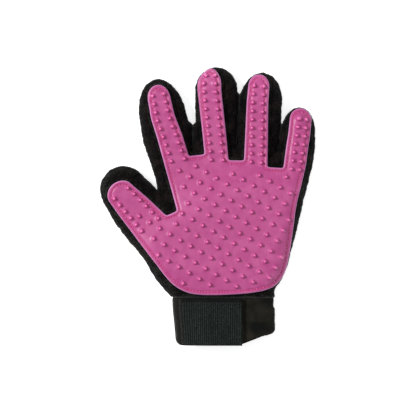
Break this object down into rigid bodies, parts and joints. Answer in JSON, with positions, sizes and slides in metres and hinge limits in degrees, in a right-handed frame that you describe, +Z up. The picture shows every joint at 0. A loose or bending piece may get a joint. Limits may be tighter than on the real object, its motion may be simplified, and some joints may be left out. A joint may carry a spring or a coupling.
{
  "type": "grooming glove",
  "caption": "Left-hand pet grooming glove: hollow knit and mesh glove with a nubbed silicone palm pad, jointed fingers and a hook-and-loop wrist strap.",
  "frame": {"origin": "on the table below the middle of the glove's bounding box", "axes": "the glove lies on its back: +Y towards the fingertips, +X towards the little finger, +Z up out of the palm pad"},
  "size_m": [0.181, 0.234, 0.0276],
  "materials": {
    "pad": "matte silicone",
    "panel": "knit",
    "gusset": "stretch knit",
    "mesh": "open mesh",
    "elastic": "ribbed elastic",
    "loop": "brushed loop pile",
    "hook": "moulded hooks"
  },
  "bodies": {
    "hand": {"palm_pad": "pad", "palm_panel": "panel", "back_panel": "mesh", "thumb_index_web": "gusset", "index_middle_web": "gusset", "middle_ring_web": "gusset", "ring_little_web": "gusset", "cuff_front": "panel", "cuff_back": "mesh", "cuff_hem": "elastic", "back_elastic": "elastic", "loop_panel": "loop", "strap_anchor": "elastic"},
    "thumb_lower": {"thumb_lower_pad": "pad", "thumb_lower_front": "gusset", "thumb_lower_back": "mesh"},
    "thumb_tip": {"thumb_tip_pad": "pad", "thumb_tip_front": "gusset", "thumb_tip_back": "mesh"},
    "index_lower": {"index_lower_pad": "pad", "index_lower_front": "gusset", "index_lower_back": "mesh"},
    "index_tip": {"index_tip_pad": "pad", "index_tip_front": "gusset", "index_tip_back": "mesh"},
    "middle_lower": {"middle_lower_pad": "pad", "middle_lower_front": "gusset", "middle_lower_back": "mesh"},
    "middle_tip": {"middle_tip_pad": "pad", "middle_tip_front": "gusset", "middle_tip_back": "mesh"},
    "ring_lower": {"ring_lower_pad": "pad", "ring_lower_front": "gusset", "ring_lower_back": "mesh"},
    "ring_tip": {"ring_tip_pad": "pad", "ring_tip_front": "gusset", "ring_tip_back": "mesh"},
    "little_lower": {"little_lower_pad": "pad", "little_lower_front": "gusset", "little_lower_back": "mesh"},
    "little_tip": {"little_tip_pad": "pad", "little_tip_front": "gusset", "little_tip_back": "mesh"},
    "strap": {"strap_band": "elastic", "hook_patch": "hook"}
  },
  "joints": [
    {"name": "thumb_base_flex", "type": "hinge", "parent": "hand", "child": "thumb_lower", "pos_m": [-0.06005, -0.0001, 0.0184], "axis": [0.7934, 0.6088, 0], "range_deg": [0, 70], "stiffness_Nm_per_rad": 0.02},
    {"name": "thumb_knuckle_flex", "type": "hinge", "parent": "thumb_lower", "child": "thumb_tip", "pos_m": [-0.06869, 0.01117, 0.0184], "axis": [0.7934, 0.6088, 0], "range_deg": [0, 70], "stiffness_Nm_per_rad": 0.02},
    {"name": "index_base_flex", "type": "hinge", "parent": "hand", "child": "index_lower", "pos_m": [-0.03405, 0.0571, 0.0184], "axis": [0.9803, 0.1977, 0], "range_deg": [0, 70], "stiffness_Nm_per_rad": 0.02},
    {"name": "index_knuckle_flex", "type": "hinge", "parent": "index_lower", "child": "index_tip", "pos_m": [-0.03826, 0.07798, 0.0184], "axis": [0.9803, 0.1977, 0], "range_deg": [0, 70], "stiffness_Nm_per_rad": 0.02},
    {"name": "middle_base_flex", "type": "hinge", "parent": "hand", "child": "middle_lower", "pos_m": [0.00675, 0.0599, 0.0184], "axis": [0.9999, -0.014, 0], "range_deg": [0, 70], "stiffness_Nm_per_rad": 0.02},
    {"name": "middle_knuckle_flex", "type": "hinge", "parent": "middle_lower", "child": "middle_tip", "pos_m": [0.00705, 0.0812, 0.0184], "axis": [0.9999, -0.014, 0], "range_deg": [0, 70], "stiffness_Nm_per_rad": 0.02},
    {"name": "ring_base_flex", "type": "hinge", "parent": "hand", "child": "ring_lower", "pos_m": [0.04215, 0.057, 0.0184], "axis": [0.9962, -0.0872, 0], "range_deg": [0, 70], "stiffness_Nm_per_rad": 0.02},
    {"name": "ring_knuckle_flex", "type": "hinge", "parent": "ring_lower", "child": "ring_tip", "pos_m": [0.04401, 0.07822, 0.0184], "axis": [0.9962, -0.0872, 0], "range_deg": [0, 70], "stiffness_Nm_per_rad": 0.02},
    {"name": "little_base_flex", "type": "hinge", "parent": "hand", "child": "little_lower", "pos_m": [0.07475, 0.0503, 0.0184], "axis": [0.9947, -0.1028, 0], "range_deg": [0, 70], "stiffness_Nm_per_rad": 0.02},
    {"name": "little_knuckle_flex", "type": "hinge", "parent": "little_lower", "child": "little_tip", "pos_m": [0.07621, 0.06442, 0.01838], "axis": [0.9947, -0.1028, 0], "range_deg": [0, 70], "stiffness_Nm_per_rad": 0.02},
    {"name": "strap_open", "type": "hinge", "parent": "hand", "child": "strap", "pos_m": [-0.01975, -0.0968, 0.02107], "axis": [0, -1, 0], "range_deg": [0, 150]}
  ]
}
